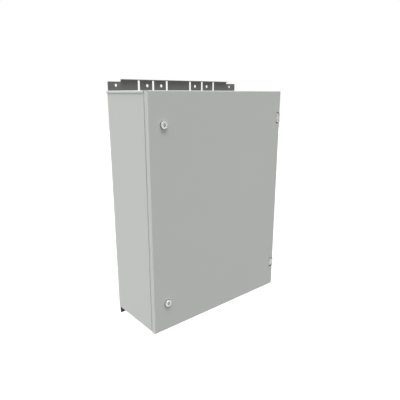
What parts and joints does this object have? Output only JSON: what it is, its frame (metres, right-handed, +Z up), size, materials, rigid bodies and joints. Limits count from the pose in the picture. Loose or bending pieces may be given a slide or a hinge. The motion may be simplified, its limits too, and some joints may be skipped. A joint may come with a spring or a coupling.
{
  "type": "wall-mounted telecom cabinet",
  "caption": "Wall-mounted sheet-steel telecom cabinet with a hinged front door, quarter-turn locks, a mounting plate inside and slotted brackets for a wall or mast.",
  "frame": {"origin": "in the wall plane, at the centre of the four outer wall bolts of the two brackets", "axes": "+X to the right for someone facing the door, +Y into the wall, +Z up"},
  "size_m": [0.6062, 0.256, 0.876],
  "materials": {
    "cabinet_paint": "fine-textured light grey powder coat",
    "bracket_steel": "satin dark grey coated steel",
    "cast_zinc": "bright cast zinc",
    "lock_nickel": "satin nickel plate",
    "galvanised_steel": "galvanised with a faint spangle",
    "plated_steel": "bright zinc plate",
    "seal_foam": "foamed black seal with a skin",
    "seal_rubber": "matt black rubber"
  },
  "bodies": {
    "cabinet": {"body_earth_nut": "plated_steel", "body_earth_stud": "galvanised_steel", "body_shell": "cabinet_paint", "bottom_bracket": "bracket_steel", "bracket_nuts": "plated_steel", "bracket_screws": "plated_steel", "bracket_seals": "seal_rubber", "entry_gasket": "seal_rubber", "entry_nuts": "plated_steel", "entry_plate": "cabinet_paint", "entry_screws": "plated_steel", "hinge_frame_nuts": "plated_steel", "hinge_frame_screws": "plated_steel", "lower_hinge_fixed_leaf": "cast_zinc", "lower_hinge_pin": "plated_steel", "mounting_plate": "galvanised_steel", "plate_nuts": "plated_steel", "plate_studs": "galvanised_steel", "plate_washers": "plated_steel", "roof_cap": "cabinet_paint", "top_bracket": "bracket_steel", "upper_hinge_fixed_leaf": "cast_zinc", "upper_hinge_pin": "plated_steel"},
    "door": {"door_panel": "cabinet_paint", "door_seal": "seal_foam", "left_door_rail": "galvanised_steel", "right_door_rail": "galvanised_steel", "hinge_door_studs": "galvanised_steel", "hinge_door_nuts": "plated_steel", "door_earth_stud": "galvanised_steel", "door_earth_nut": "plated_steel", "upper_hinge_moving_leaf": "cast_zinc", "upper_lock_housing": "lock_nickel", "upper_lock_nut": "plated_steel", "upper_lock_seal": "seal_rubber", "lower_hinge_moving_leaf": "cast_zinc", "lower_lock_housing": "lock_nickel", "lower_lock_nut": "plated_steel", "lower_lock_seal": "seal_rubber"},
    "upper_lock": {"upper_lock_insert": "lock_nickel", "upper_lock_cam": "plated_steel", "upper_cam_screw": "plated_steel"},
    "lower_lock": {"lower_lock_insert": "lock_nickel", "lower_lock_cam": "plated_steel", "lower_cam_screw": "plated_steel"}
  },
  "joints": [
    {"name": "door_hinge", "type": "hinge", "parent": "cabinet", "child": "door", "pos_m": [0.3, -0.2463, 0], "axis": [0, 0, 1], "range_deg": [0, 130]},
    {"name": "upper_lock_turn", "type": "hinge", "parent": "door", "child": "upper_lock", "pos_m": [-0.246, -0.249, 0.299], "axis": [0, 1, 0], "range_deg": [0, 90]},
    {"name": "lower_lock_turn", "type": "hinge", "parent": "door", "child": "lower_lock", "pos_m": [-0.246, -0.249, -0.299], "axis": [0, 1, 0], "range_deg": [0, 90]}
  ]
}
